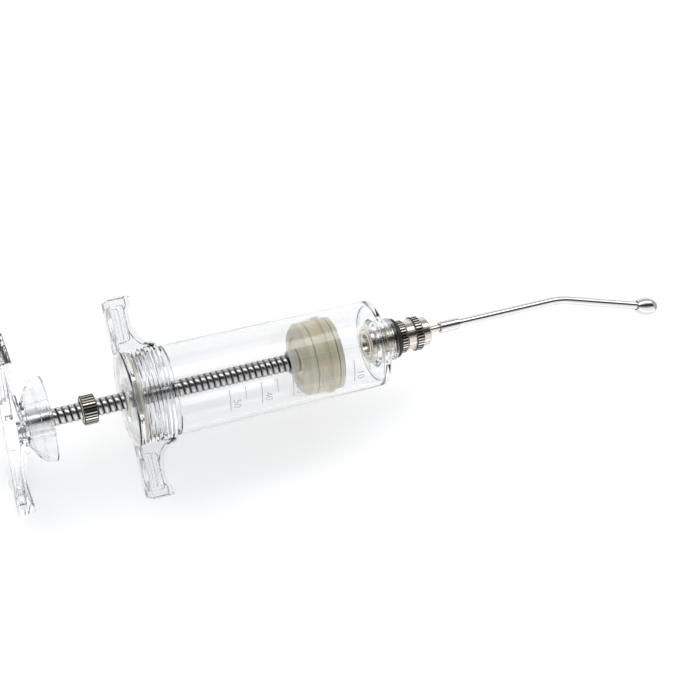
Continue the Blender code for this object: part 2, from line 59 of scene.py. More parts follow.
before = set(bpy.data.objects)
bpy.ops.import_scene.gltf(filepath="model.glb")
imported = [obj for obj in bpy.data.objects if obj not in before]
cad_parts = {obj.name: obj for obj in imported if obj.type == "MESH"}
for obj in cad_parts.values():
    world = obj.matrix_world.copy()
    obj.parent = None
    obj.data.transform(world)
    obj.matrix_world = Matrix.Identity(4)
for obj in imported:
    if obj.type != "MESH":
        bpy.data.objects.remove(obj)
CAD_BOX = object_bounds()
MM = 0.001

# How far the cap's round back stands behind its wings
CAP_PAD = 0.3
WINGS_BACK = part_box("rear_cap")[0][0] + CAP_PAD * MM

# Faces round a turned piece: the barrel and cap, other large pieces, the hub and ball, small pieces, and the rod
WIDEST = 160
FINE = 128
MIDDLE = 96
SMALL = 64
ROD_SIDES = 48

# The least distance between two points of a mesh, and how far a raised mark's foot sinks into the barrel
MERGE = 0.000001
SUNK = 0.00001


def along(mm):
    """The world X of a place along the syringe."""
    return WINGS_BACK + mm * MM


def ahead(node):
    """The back and front of a CAD node along the syringe, in millimetres from the wings' back face."""
    low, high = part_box(node)
    return (low[0] - WINGS_BACK) / MM, (high[0] - WINGS_BACK) / MM


BARREL_BACK, NECK_END = ahead("barrel")
CAP_BACK, CAP_FRONT = ahead("rear_cap")
WING_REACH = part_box("rear_cap")[1][1] / MM
HANDLE_BACK = ahead("handle")[0]
BOSS_FRONT = ahead("handle")[1] - HANDLE_BACK
ROD_BACK, ROD_END = ahead("plunger_rod")
NUT_BACK, NUT_FRONT = ahead("dose_nut")
NUT_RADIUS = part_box("dose_nut")[1][1] / MM
COLLAR_BACK, COLLAR_FRONT = ahead("lock_collar")
COLLAR_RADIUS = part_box("lock_collar")[1][1] / MM
RING_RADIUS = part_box("nose_fitting")[1][1] / MM
ROD_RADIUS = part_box("plunger_rod")[1][1]

# The neck's bore and the nose fitting's thread share a pitch. The collar slips over the fitting's front up to here.
NOSE_PITCH = 1.25
FITTING_STEP = 116.1


class SyringeSizes(bpy.types.PropertyGroup):
    """The sizes that set how the syringe looks, where the frame leaves them open."""

    bore: bpy.props.FloatProperty(
        name="Bore radius", description="Radius of the barrel's bore", default=0.0157, unit="LENGTH"
    )
    barrel: bpy.props.FloatProperty(
        name="Barrel radius", description="Outer radius of the barrel", default=0.0175, unit="LENGTH"
    )
    cap_pitch: bpy.props.FloatProperty(
        name="Cap thread pitch", description="Pitch of the cap's thread", default=0.00155, unit="LENGTH"
    )
    rod_pitch: bpy.props.FloatProperty(
        name="Rod thread pitch", description="Pitch of the rod's rounded thread", default=0.0024, unit="LENGTH"
    )
    rod_depth: bpy.props.FloatProperty(
        name="Rod thread depth", description="Depth of the rod's thread", default=0.00055, unit="LENGTH"
    )
    nut_teeth: bpy.props.IntProperty(
        name="Nut ridges", description="Ridges round the dose nut", default=30, min=12
    )
    nose_teeth: bpy.props.IntProperty(
        name="Collar ridges", description="Ridges round each knurled ring of the nose", default=36, min=12
    )
    knurl_depth: bpy.props.FloatProperty(
        name="Knurl depth", description="Depth of the grooves between ridges", default=0.0005, unit="LENGTH"
    )
    zero_at: bpy.props.FloatProperty(
        name="Scale zero", description="The zero mark, from the wings' back", default=0.0988, unit="LENGTH"
    )
    scale_step: bpy.props.FloatProperty(
        name="Scale step", description="Length of 10 ml on the scale", default=0.01266, unit="LENGTH"
    )
    digit_height: bpy.props.FloatProperty(
        name="Digit height", description="Height of the scale's numbers", default=0.0042, unit="LENGTH"
    )
    needle: bpy.props.FloatProperty(
        name="Needle radius", description="Outer radius of the needle", default=0.00183, unit="LENGTH"
    )
    bend: bpy.props.FloatProperty(
        name="Needle bend", description="How far the needle turns", default=radians(15.7), unit="ROTATION"
    )
    bend_at: bpy.props.FloatProperty(
        name="Bend place", description="The bend, from the wings' back", default=0.1870, unit="LENGTH"
    )
    bend_radius: bpy.props.FloatProperty(
        name="Bend radius", description="Radius of the needle's bend", default=0.036, unit="LENGTH"
    )
    handle_turn: bpy.props.FloatProperty(
        name="Handle turn", description="How the handle stands at rest", default=radians(40), unit="ROTATION"
    )


def colour(name, description, default):
    """A colour that the panel shows as a swatch."""
    return bpy.props.FloatVectorProperty(
        name=name, description=description, default=default, subtype="COLOR", size=3, min=0, max=1
    )


class SyringeColours(bpy.types.PropertyGroup):
    """The colours of the syringe's finishes."""

    clear: colour("Clear plastic", "Tint of the clear mouldings", (0.950, 0.957, 0.965))
    ivory: colour("Ivory plastic", "Colour of the piston's plates", (0.99, 0.91, 0.68))
    seal: colour("Ivory rubber", "Colour of the piston's rubber", (0.98, 0.88, 0.64))
    nylon: colour("White nylon", "Colour of the nylon pieces", (0.80, 0.78, 0.74))
    rubber: colour("Black rubber", "Colour of the nose gasket", (0.012, 0.012, 0.012))
    steel: colour("Stainless steel", "Colour of the rod and needle", (0.68, 0.67, 0.66))
    nickel: colour("Nickel plating", "Colour of the plated brass", (0.62, 0.58, 0.52))
    ink: colour("Scale marks", "Colour of the scale's raised marks", (0.55, 0.56, 0.57))
    floor: colour("Floor", "Colour of the floor", (0.93, 0.93, 0.93))


# Materials


class Value:
    """One output of a material's node. Arithmetic on it adds the Math nodes that work the result out."""

    def __init__(self, look, socket):
        self.look = look
        self.socket = socket

    def math(self, operation, first, second):
        """Adds one Math node."""
        return self.look.add("ShaderNodeMath", {"operation": operation}, {0: first, 1: second})

    def __add__(self, other):
        return self.math("ADD", self, other)

    def __radd__(self, other):
        return self.math("ADD", other, self)

    def __sub__(self, other):
        return self.math("SUBTRACT", self, other)

    def __rsub__(self, other):
        return self.math("SUBTRACT", other, self)

    def __mul__(self, other):
        return self.math("MULTIPLY", self, other)

    def __rmul__(self, other):
        return self.math("MULTIPLY", other, self)


class Look:
    """A material under construction."""

    def __init__(self, name):
        self.material = bpy.data.materials.new(name)
        self.material.use_nodes = True
        self.tree = self.material.node_tree
        self.shader = self.tree.nodes["Principled BSDF"]

    def add(self, kind, settings=None, sockets=None, out=0):
        """Adds a node with its settings, then the values or links of its sockets."""
        node = self.tree.nodes.new(kind)
        for key, setting in (settings or {}).items():
            if key == "stops":
                ramp = node.color_ramp
                ramp.elements[0].position, ramp.elements[0].color = setting[0]
                ramp.elements[1].position, ramp.elements[1].color = setting[-1]
                for position, shade in setting[1:-1]:
                    ramp.elements.new(position).color = shade
            else:
                setattr(node, key, setting)
        for key, given in (sockets or {}).items():
            self.feed(node.inputs[key], given)
        return Value(self, node.outputs[out])

    def feed(self, socket, given):
        """Links a value to a socket, or sets the socket."""
        if isinstance(given, Value):
            self.tree.links.new(given.socket, socket)
        else:
            socket.default_value = given

    def set(self, **sockets):
        """Feeds the shader's sockets, named with _ for each space."""
        for key, given in sockets.items():
            self.feed(self.shader.inputs[key.replace("_", " ")], given)

    def where(self, scale=(1, 1, 1)):
        """The place on the piece, stretched by the scale."""
        place = self.add("ShaderNodeTexCoord", out="Object")
        return self.add("ShaderNodeMapping", {}, {"Vector": place, "Scale": scale})

    def noise(self, size, detail=3, stretch=(1, 1, 1)):
        """Noise whose features are about size millimetres across."""
        return self.add(
            "ShaderNodeTexNoise",
            {},
            {"Vector": self.where(stretch), "Scale": 1 / (size * MM), "Detail": detail},
        )

    def radius(self):
        """The distance from the syringe's axis."""
        apart = self.add("ShaderNodeVectorMath", {"operation": "MULTIPLY"}, {0: self.where(), 1: (0, 1, 1)})
        return self.add("ShaderNodeVectorMath", {"operation": "LENGTH"}, {0: apart}, "Value")

    def mix(self, factor, first, second):
        """The two colours mixed, the second one where the factor is 1."""
        return self.add("ShaderNodeMix", {"data_type": "RGBA"}, {0: factor, 6: first, 7: second}, 2)

    def ramp(self, value, *stops):
        """The value sent through stops of (place, grey)."""
        greys = [(place, (shade, shade, shade, 1)) for place, shade in stops]
        return self.add("ShaderNodeValToRGB", {"stops": greys}, {"Fac": value})

    def bump(self, height, depth, strength=1.0):
        """Relief of so many millimetres."""
        return self.add("ShaderNodeBump", {}, {"Height": height, "Distance": depth * MM, "Strength": strength})


def shade(tint, factor):
    """A tint made lighter or darker, as a socket's colour."""
    return (*[min(1.0, part * factor) for part in tint], 1.0)


def clear_moulding(name, tint):
    """Clear moulded plastic: polished, with the slow ripple of a moulding and a few faint scuffs."""
    look = Look(name)
    ripple = look.noise(9, 1, (0.35, 1, 1))
    scuffs = look.ramp(look.noise(2.2, 5, (4, 0.6, 0.6)), (0.60, 0), (0.80, 1))
    look.set(
        Base_Color=look.mix(ripple * 0.5, shade(tint, 1.0), shade(tint, 0.985)),
        Roughness=0.015 + scuffs * 0.05,
        Normal=look.bump(ripple, 0.05),
        Transmission_Weight=1.0,
        IOR=1.49,
    )
    return look.material


def satin_moulding(name, tint, rough, depth, sheen=0.0):
    """Opaque moulded plastic or rubber with a fine satin grain and slightly uneven colour."""
    look = Look(name)
    cloud = look.noise(3.5, 3)
    grain = look.noise(0.22, 2)
    look.set(
        Base_Color=look.mix(cloud, shade(tint, 1.04), shade(tint, 0.93)),
        Roughness=rough + (cloud - 0.5) * 0.12 + (grain - 0.5) * 0.05,
        Normal=look.bump(grain, depth),
        Subsurface_Weight=sheen,
        Subsurface_Scale=0.002,
        IOR=1.5,
    )
    return look.material


def bright_metal(name, tint, rough, marks):
    """Polished metal with fine turning marks round the axis, faint scratches and a little tarnish."""
    look = Look(name)
    turned_marks = look.noise(0.35, 2, (3.5, 0.05, 0.05))
    tarnish = look.noise(5, 4)
    scratches = look.ramp(look.noise(0.9, 4, (0.4, 2, 2)), (0.62, 0), (0.72, 1))
    look.set(
        Base_Color=look.mix(tarnish * 0.6, shade(tint, 1.05), shade(tint, 0.90)),
        Roughness=rough + (tarnish - 0.5) * 0.08 + scratches * 0.05,
        Metallic=1.0,
        Normal=look.bump(turned_marks, marks, 0.5),
    )
    return look.material


def threaded_steel(name, tint, crest, depth):
    """Steel with painted shade darkening the valleys of a thread about the X axis."""
    look = Look(name)
    height = (look.radius() - (crest - depth)) * (1 / depth)
    tarnish = look.noise(2.0, 4)
    # Painted shade: the thread's valleys go near black and rougher, the crests keep the steel's colour.
    unshaded = look.ramp(height + (tarnish - 0.5) * 0.25, (0.25, 0), (0.92, 1))
    look.set(
        Base_Color=look.mix(unshaded, shade(tint, 0.05), shade(tint, 0.80)),
        Roughness=0.34 - unshaded * 0.16 + (tarnish - 0.5) * 0.1,
        Metallic=1.0,
        Normal=look.bump(look.noise(0.3, 2), 0.006),
    )
    return look.material


def knurled_nickel(name, tint, crest, depth):
    """Nickel plating with painted shade in the grooves of a knurl about the X axis, none further in."""
    look = Look(name)
    height = (look.radius() - (crest - 3 * depth)) * (1 / (3 * depth))
    # Painted shade: the grooves' bottoms go near black; the crests and the faces further in keep the plating's
    # colour.
    unshaded = look.ramp(height, (0.45, 1), (0.60, 0), (0.74, 0), (0.97, 1))
    tarnish = look.noise(5, 4)
    look.set(
        Base_Color=look.mix(unshaded, shade(tint, 0.06), shade(tint, 1.0)),
        Roughness=0.17 + (tarnish - 0.5) * 0.08,
        Metallic=1.0,
        Normal=look.bump(look.noise(0.35, 2), 0.004, 0.5),
    )
    return look.material


FINISHES = {}


def make_finishes(colours, sizes):
    """Fills FINISHES with the syringe's materials, by slot, and by piece where one needs its own."""
    FINISHES["clear_plastic"] = clear_moulding("clear plastic", colours.clear)
    FINISHES["ivory_plastic"] = satin_moulding("ivory plastic", colours.ivory, 0.30, 0.010, 0.25)
    FINISHES["ivory_silicone"] = satin_moulding("ivory silicone", colours.seal, 0.42, 0.012, 0.30)
    FINISHES["white_nylon"] = satin_moulding("white nylon", colours.nylon, 0.38, 0.010, 0.15)
    FINISHES["dark_rubber"] = satin_moulding("dark rubber", colours.rubber, 0.45, 0.020)
    FINISHES["steel"] = bright_metal("stainless steel", colours.steel, 0.08, 0.003)
    FINISHES["rod_steel"] = threaded_steel("rod steel", colours.steel, ROD_RADIUS, sizes.rod_depth)
    FINISHES["nickel"] = bright_metal("nickel plating", colours.nickel, 0.17, 0.004)
    for node, radius in (("dose_nut", NUT_RADIUS), ("nose_fitting", RING_RADIUS), ("lock_collar", COLLAR_RADIUS)):
        FINISHES[node] = knurled_nickel("knurled " + node, colours.nickel, radius * MM, sizes.knurl_depth)
    FINISHES["scale_marks"] = satin_moulding("scale marks", colours.ink, 0.30, 0.004)


# Modelling


def deselect():
    """Leaves edit mode with nothing selected."""
    if bpy.context.object and bpy.context.object.mode != "OBJECT":
        bpy.ops.object.mode_set(mode="OBJECT")
    bpy.ops.object.select_all(action="DESELECT")


def only(piece):
    """Makes the piece the one that is selected and active."""
    deselect()
    piece.select_set(True)
    bpy.context.view_layer.objects.active = piece


def edit(piece):
    """Opens the piece in edit mode, on its vertices, with none selected."""
    only(piece)
    bpy.ops.object.mode_set(mode="EDIT")
    bpy.ops.mesh.select_mode(type="VERT")
    bpy.ops.mesh.select_all(action="DESELECT")


def pick(piece, test):
    """Selects the vertices, in edit mode, whose place passes the test."""
    shape = bmesh.from_edit_mesh(piece.data)
    for vertex in shape.verts:
        vertex.select_set(test(vertex.co))
    shape.select_flush_mode()
    bmesh.update_edit_mesh(piece.data)


def tidy(piece):
    """Merges doubles and turns every face outwards."""
    edit(piece)
    bpy.ops.mesh.select_all(action="SELECT")
    bpy.ops.mesh.remove_doubles(threshold=MERGE)
    bpy.ops.mesh.dissolve_degenerate(threshold=MERGE)
    bpy.ops.mesh.normals_make_consistent(inside=False)
    bpy.ops.object.mode_set(mode="OBJECT")


def fill_ends(piece):
    """Closes the open ends of a swept section."""
    edit(piece)
    bpy.ops.mesh.select_non_manifold()
    bpy.ops.mesh.fill_holes(sides=0)
    bpy.ops.object.mode_set(mode="OBJECT")
    tidy(piece)


def join(pieces):
    """Joins pieces into the first one."""
    deselect()
    for piece in pieces:
        piece.select_set(True)
    bpy.context.view_layer.objects.active = pieces[0]
    bpy.ops.object.join()
    return bpy.context.object


def settle(piece):
    """Puts the piece's place into its mesh."""
    only(piece)
    bpy.ops.object.transform_apply(location=True, rotation=True, scale=True)


def outline(name, points, closed=True):
    """A line drawn from point to point by extruding one vertex. Each point is a world place."""
    deselect()
    bpy.ops.mesh.primitive_plane_add(size=MM, location=points[0])
    piece = bpy.context.object
    piece.name = piece.data.name = name
    bpy.ops.object.mode_set(mode="EDIT")
    bpy.ops.mesh.select_mode(type="VERT")
    bpy.ops.mesh.select_all(action="SELECT")
    bpy.ops.mesh.merge(type="CENTER")
    route = [*points, points[0]] if closed else points
    for last, here in zip(route, route[1:]):
        step = Vector(here) - Vector(last)
        bpy.ops.mesh.extrude_region_move(TRANSFORM_OT_translate={"value": step})
    bpy.ops.mesh.select_all(action="SELECT")
    bpy.ops.mesh.remove_doubles(threshold=MERGE)
    bpy.ops.object.mode_set(mode="OBJECT")
    settle(piece)
    return piece


def apply_modifier(piece, kind, **settings):
    """Adds a modifier with its settings and applies it."""
    only(piece)
    bpy.ops.object.modifier_add(type=kind)
    step = piece.modifiers[-1]
    for key, setting in settings.items():
        setattr(step, key, setting)
    bpy.ops.object.modifier_apply(modifier=step.name)


def turn(piece, sides, angle=2 * pi, rise=0.0, rounds=1):
    """Sweeps an outline about the syringe's axis."""
    apply_modifier(
        piece,
        "SCREW",
        axis="X",
        angle=angle,
        screw_offset=rise,
        iterations=rounds,
        steps=sides,
        render_steps=sides,
        use_merge_vertices=True,
        merge_threshold=MERGE,
    )
    tidy(piece)


def turned(name, profile, sides=FINE, closed=True):
    """A turned piece, from (place along the syringe, radius) in millimetres."""
    piece = outline(name, [(along(x), 0, radius * MM) for x, radius in profile], closed)
    turn(piece, sides)
    return piece


def boolean(piece, other, operation):
    """Joins or cuts the piece with another, which is then removed."""
    apply_modifier(piece, "BOOLEAN", object=other, operation=operation, solver="EXACT")
    bpy.data.objects.remove(other, do_unlink=True)


def finish_piece(piece, body, finish, *nodes, smoothing=35):
    """Gives a piece its finish and its place in the frame.

    The normals are weighted by area, so that a long clear wall isn't shaded as if it bent towards its small edges.
    """
    only(piece)
    bpy.ops.object.shade_smooth_by_angle(angle=radians(smoothing))
    apply_modifier(piece, "WEIGHTED_NORMAL", keep_sharp=True)
    piece.data.materials.clear()
    piece.data.materials.append(FINISHES[finish])
    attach(piece, body)
    if nodes:
        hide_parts(*nodes)


def thread(front, back, pitch, root, crest):
    """A thread's section from its front back, as (place, radius)."""
    count = max(1, round((front - back) / pitch))
    step = (front - back) / count
    points = []
    for i in range(count):
        x = front - i * step
        points += [(x, root), (x - 0.36 * step, crest), (x - 0.56 * step, crest), (x - 0.92 * step, root)]
    return points


def rounded(x, radius, size, corner, points=4):
    """A rounded corner of a section. The corner says which way it faces, as (along, out)."""
    centre_x, centre_r = x - corner[0] * size, radius - corner[1] * size
    arc = []
    for i in range(points + 1):
        t = pi / 2 * i / points
        arc.append((centre_x + corner[0] * size * cos(t), centre_r + corner[1] * size * sin(t)))
    return arc


# Faces to each tooth of a knurl
COLUMNS = 4


def knurl(piece, back, front, teeth, depth, radius):
    """Presses a straight knurl between two places of a piece turned with COLUMNS faces to a tooth."""
    edit(piece)
    spacing = 2 * pi / (teeth * COLUMNS)
    rim = 0.45

    def in_groove(place):
        if not along(back) - MERGE < place.x < along(front) + MERGE:
            return False
        if Vector((place.y, place.z)).length < (radius - rim) * MM:
            return False
        angle = Vector((place.z, place.y)).angle_signed(Vector((1, 0)), 0)
        return round(angle / spacing) % COLUMNS in (0, 1)

    pick(piece, in_groove)
    shrink = 1 - depth / (radius * MM)
    bpy.ops.transform.resize(value=(1, shrink, shrink), center_override=(along(back), 0, 0))
    bpy.ops.object.mode_set(mode="OBJECT")


class Maker(bpy.types.Operator):
    """Shared parts of the operators that make pieces."""

    bl_options = {"REGISTER", "UNDO"}

    @property
    def sizes(self):
        """The sizes set in the panel."""
        return bpy.context.scene.syringe_sizes


class DOSING_OT_barrel(Maker):
    """Makes the clear barrel with its thread, its neck and the mould's parting line"""

    bl_idname = "dosing.barrel"
    bl_label = "Barrel"

    def execute(self, context):
        bore, outer = self.sizes.bore / MM, self.sizes.barrel / MM
        pitch, depth = self.sizes.cap_pitch / MM, 0.35
        neck_length, neck, neck_bore, wall = 7.3, 8.7, 6.5, 1.8
        shoulder = 0.8
        end = NECK_END - neck_length
        floor = end - wall
        thread_end = CAP_FRONT + 2.2
        section = [
            (NECK_END - 0.4, neck),
            (NECK_END - 2.2, neck + 0.05),
            (end + 0.9, neck + 0.45),
            (end, neck + 1.2),
            *rounded(end, outer, shoulder, (1, 1)),
            (thread_end + 0.8, outer),
            (thread_end + 0.2, outer),
            *thread(thread_end, BARREL_BACK + 0.5, pitch, outer - depth, outer),
            (BARREL_BACK, outer - 0.65),
            (BARREL_BACK, bore + 0.35),
            (BARREL_BACK + 0.5, bore),
            (floor - 1.0, bore),
            (floor - 0.3, bore - 0.3),
            (floor, bore - 1.0),
            (floor, neck_bore - 0.1),
            *reversed(thread(NECK_END - 0.6, floor + 0.4, NOSE_PITCH, neck_bore + 0.05, neck_bore - 0.35)),
            (NECK_END, neck_bore),
            (NECK_END, neck - 0.4),
        ]
        barrel = turned("clear_barrel", section, WIDEST)
        finish_piece(barrel, "barrel_body", "clear_plastic", "barrel", smoothing=40)
        self.parting_line(along(thread_end + 0.8), along(end - shoulder))
        return {"FINISHED"}

    def parting_line(self, back, front):
        """The fine ridge that the mould leaves along the top of the barrel."""
        height, angle = 0.00006, radians(0.9)
        foot, ridge = self.sizes.barrel - 2 * SUNK, self.sizes.barrel + height
        line = outline("parting_line", [(back, 0, foot), (front, 0, foot), (front, 0, ridge), (back, 0, ridge)])
        turn(line, 3, angle)
        fill_ends(line)
        finish_piece(line, "barrel_body", "clear_plastic")


class DOSING_OT_scale(Maker):
    """Makes the raised ticks and numbers of the 50 ml scale"""

    bl_idname = "dosing.scale"
    bl_label = "Scale"

    RELIEF = 0.00007
    FIRST_ANGLE, LONG_ANGLE, SHORT_ANGLE, NUMBER_ANGLE = 16, 47, 35, 38
    LONG_WIDTH, SHORT_WIDTH = 0.4, 0.3

    def tick(self, name, last, width):
        """A raised mark that runs round the barrel to an angle from its top, in degrees."""
        outer = self.sizes.barrel
        low, high = outer - SUNK, outer + self.RELIEF
        half = width / 2 * MM
        first = radians(self.FIRST_ANGLE)
        start = Matrix.Rotation(first, 3, "X")
        corners = [(-half, low), (half, low), (half, high), (-half, high)]
        mark = outline(name, [start @ Vector((x, 0, z)) for x, z in corners])
        turn(mark, 12, radians(last) - first)
        fill_ends(mark)
        return mark

    def copy_to(self, mark, x):
        """A copy of a mark, with its own mesh, at a world X."""
        only(mark)
        bpy.ops.object.duplicate(linked=False)
        copy = bpy.context.object
        copy.location.x = x
        settle(copy)
        return copy

    def number(self, text, x):
        """A raised number that reads round the barrel, wrapped onto its surface."""
        deselect()
        bpy.ops.object.text_add(location=(0, 0, 0))
        digits = bpy.context.object
        digits.name = "digits_" + text
        digits.data.body = text
        digits.data.size = self.sizes.digit_height
        digits.data.align_x = "CENTER"
        bpy.ops.object.convert(target="MESH")
        digits = bpy.context.object
        edit(digits)
        cuts = 16
        for i in range(1, cuts):
            bpy.ops.mesh.select_all(action="SELECT")
            place = self.sizes.digit_height * 2 * (i / cuts - 0.5)
            bpy.ops.mesh.bisect(plane_co=(place, 0, 0), plane_no=(1, 0, 0))
        bpy.ops.object.mode_set(mode="OBJECT")
        lift = Matrix.Translation((x, 0, self.sizes.barrel + 0.1 * MM))
        around = Matrix.Rotation(radians(self.NUMBER_ANGLE), 4, "X")
        digits.matrix_world = around @ lift @ Matrix.Rotation(-pi / 2, 4, "Z")
        settle(digits)
        barrel = bpy.data.objects["clear_barrel"]
        apply_modifier(
            digits,
            "SHRINKWRAP",
            target=barrel,
            wrap_method="NEAREST_SURFACEPOINT",
            wrap_mode="ABOVE_SURFACE",
            offset=0.02 * MM,
        )
        apply_modifier(digits, "SOLIDIFY", thickness=self.RELIEF - SUNK, offset=1)
        tidy(digits)
        return digits

    def execute(self, context):
        steps, ahead_of_tick = 5, 1.2
        long_tick = self.tick("long_tick", self.LONG_ANGLE, self.LONG_WIDTH)
        half_tick = self.tick("half_tick", self.SHORT_ANGLE, self.SHORT_WIDTH)
        zero = WINGS_BACK + self.sizes.zero_at
        marks = []
        for i in range(2 * steps + 1):
            marks.append(self.copy_to(half_tick if i % 2 else long_tick, zero - i * self.sizes.scale_step / 2))
        for i in range(1, steps + 1):
            x = zero - i * self.sizes.scale_step
            marks.append(self.number(str(10 * i), x + ahead_of_tick * MM))
        for spare in (long_tick, half_tick):
            bpy.data.objects.remove(spare, do_unlink=True)
        scale = join(marks)
        scale.name = "scale_marks"
        finish_piece(scale, "barrel_body", "scale_marks")
        return {"FINISHED"}


def arm_front(waist, waist_at, tip, tip_at, root, root_at):
    """The hollowed front of an arm from its tip in to its root, as (place along, reach)."""
    points = 10
    rise = tip - waist
    radius = (rise**2 + (tip_at - waist_at) ** 2) / (2 * rise)
    front = []
    for i in range(points):
        reach = tip_at + (waist_at - tip_at) * i / points
        front.append((waist + radius - sqrt(radius**2 - (reach - waist_at) ** 2), reach))
    for i in range(points + 1):
        t = pi / 2 * i / points
        front.append((waist + (root - waist) * (1 - cos(t)), waist_at + (root_at - waist_at) * sin(t)))
    return front


ARM_WIDTH = 19.0


def bar(name, back, reach, waist, waist_at, lip, root, root_at):
    """Two hollowed arms across the axis with a flat back, rounded at every edge.

    The lengths from the back are those of the lip at the tips, of the waist and of the root beside the axis.
    """
    lip_height, rounding = 3.2, 0.8
    arm = arm_front(waist, waist_at, lip, reach - lip_height, root, root_at)
    half = [(0, reach), (lip, reach), *arm]
    loop = half + [(x, -y) for x, y in reversed(half)]
    piece = outline(name, [(along(back + x), y * MM, -ARM_WIDTH / 2 * MM) for x, y in loop])
    edit(piece)
    bpy.ops.mesh.select_all(action="SELECT")
    bpy.ops.mesh.edge_face_add()
    bpy.ops.mesh.extrude_region_move(TRANSFORM_OT_translate={"value": (0, 0, ARM_WIDTH * MM)})
    bpy.ops.object.mode_set(mode="OBJECT")
    tidy(piece)
    apply_modifier(
        piece, "BEVEL", width=rounding * MM, segments=3, limit_method="ANGLE", angle_limit=radians(40)
    )
    tidy(piece)
    return piece


def sink_panels(piece, back, front, inner, outer, corner):
    """Sinks a panel with round corners into each side of both arms."""
    depth = 3.0
    size = ((front - back) * MM, (outer - inner) * MM, 2 * depth * MM)
    for arm in (1, -1):
        for side in (1, -1):
            deselect()
            middle = (along((back + front) / 2), arm * (inner + outer) / 2 * MM, side * ARM_WIDTH / 2 * MM)
            bpy.ops.mesh.primitive_cube_add(size=1, location=middle, scale=size)
            block = bpy.context.object
            settle(block)
            apply_modifier(block, "BEVEL", width=corner * MM, segments=4, limit_method="NONE")
            tidy(block)
            boolean(piece, block, "DIFFERENCE")


class DOSING_OT_rear_cap(Maker):
    """Makes the clear screw cap with its two finger wings and its inner thread"""

    bl_idname = "dosing.rear_cap"
    bl_label = "Rear cap"

    def execute(self, context):
        pitch = self.sizes.cap_pitch / MM
        outer, crest, depth, hole = 20.0, 18.0, 0.35, 6.8
        floor, past = 2.0, 5.0
        body = [
            (CAP_FRONT, 0),
            *rounded(CAP_FRONT, outer, 0.7, (1, 1)),
            *reversed(rounded(CAP_BACK, outer, 1.0, (-1, 1))),
            (CAP_BACK, 0),
        ]
        cap = turned("clear_cap", body, WIDEST, closed=False)
        wings = bar("cap_wings", 0, WING_REACH, 6.3, 31.0, 8.0, CAP_FRONT - 0.9, outer - 1.2)
        boolean(cap, wings, "UNION")
        hollow = [
            (CAP_FRONT + past, 0),
            (CAP_FRONT + past, crest + 0.3),
            (CAP_FRONT - 0.3, crest + 0.3),
            *thread(CAP_FRONT - 0.5, floor + 1.2, pitch, crest, crest + depth),
            (floor, crest),
            (floor, hole),
            (-past, hole),
            (-past, 0),
        ]
        boolean(cap, turned("cap_hollow", hollow, WIDEST, closed=False), "DIFFERENCE")
        sink_panels(cap, 1.3, 5.0, 21.3, 35.3, 1.0)
        tidy(cap)
        finish_piece(cap, "barrel_body", "clear_plastic", "rear_cap", smoothing=32)
        return {"FINISHED"}


class DOSING_OT_cap_fittings(Maker):
    """Makes the washer under the cap and the nylon bush that guides the rod"""

    bl_idname = "dosing.cap_fittings"
    bl_label = "Cap fittings"

    def execute(self, context):
        back, front = ahead("cap_gasket")
        bore, outer = self.sizes.bore / MM + 0.3, self.sizes.barrel / MM - 0.1
        section = [*rounded(front, outer, 0.3, (1, 1)), *reversed(rounded(back, outer, 0.3, (-1, 1)))]
        gasket = turned("cap_washer", [*section, (back, bore), (front, bore)])
        finish_piece(gasket, "barrel_body", "ivory_silicone", "cap_gasket")
        back, front = ahead("rod_guide_bush")
        flange_back, flange, body, hole, chamfer = 2.3, 8.5, 6.5, 3.8, 0.5
        section = [
            *rounded(front, flange, 0.4, (1, 1)),
            (flange_back, flange),
            (flange_back, body),
            *reversed(rounded(back, body, 0.4, (-1, 1))),
            (back, hole + chamfer),
            (back + chamfer, hole),
            (front - chamfer, hole),
            (front, hole + chamfer),
        ]
        bush = turned("rod_bush", section, SMALL)
        finish_piece(bush, "barrel_body", "white_nylon", "rod_guide_bush")
        return {"FINISHED"}


class DOSING_OT_handle(Maker):
    """Makes the clear T-handle with its bell and the threaded insert in its boss"""

    bl_idname = "dosing.handle"
    bl_label = "Handle"

    def execute(self, context):
        base = HANDLE_BACK
        boss, bell, wall, hole = 7.2, 16.3, 1.9, 5.3
        past, gap = 5.0, 0.3
        section = [
            (BOSS_FRONT, 0),
            *rounded(BOSS_FRONT, boss, 0.5, (1, 1)),
            (10.2, boss),
            (9.6, boss + 0.5),
            (12.9, 12.8),
            (14.7, 13.8),
            (17.3, bell - wall),
            (17.6, bell - wall + 0.3),
            *rounded(17.6, bell, 0.5, (1, 1)),
            (13.5, bell - 0.6),
            (12.3, 14.7),
            (11.7, 14.1),
            (8.0, boss + 0.3),
            (7.4, boss),
            (1.0, boss),
            (1.0, 0),
        ]
        handle = turned("clear_handle", [(base + x, radius) for x, radius in section], FINE, closed=False)
        arms = bar("handle_arms", base, 36.35, 4.8, 26.0, 6.6, 8.0, 7.0)
        boolean(handle, arms, "UNION")
        sink_panels(handle, base + 1.1, base + 3.9, 11.0, 33.2, 0.9)
        insert_back, insert_front = ahead("handle_insert")
        hole_front, hole_back = base + BOSS_FRONT + past, insert_back - gap
        drilled = [(hole_front, 0), (hole_front, hole), (hole_back, hole), (hole_back, 0)]
        boolean(handle, turned("handle_hole", drilled, SMALL, closed=False), "DIFFERENCE")
        tidy(handle)
        handle.rotation_euler.x = self.sizes.handle_turn
        settle(handle)
        finish_piece(handle, "rod", "clear_plastic", "handle", smoothing=32)
        crest, edge, bore, pitch = 5.0, 4.5, 3.7, 1.1
        ridges = thread(insert_front - 0.4, insert_back + 0.4, pitch, crest - 0.4, crest)
        section = [(insert_front, edge), *ridges, (insert_back, edge), (insert_back, bore), (insert_front, bore)]
        insert = turned("threaded_insert", section, SMALL)
        finish_piece(insert, "rod", "steel", "handle_insert", smoothing=50)
        return {"FINISHED"}


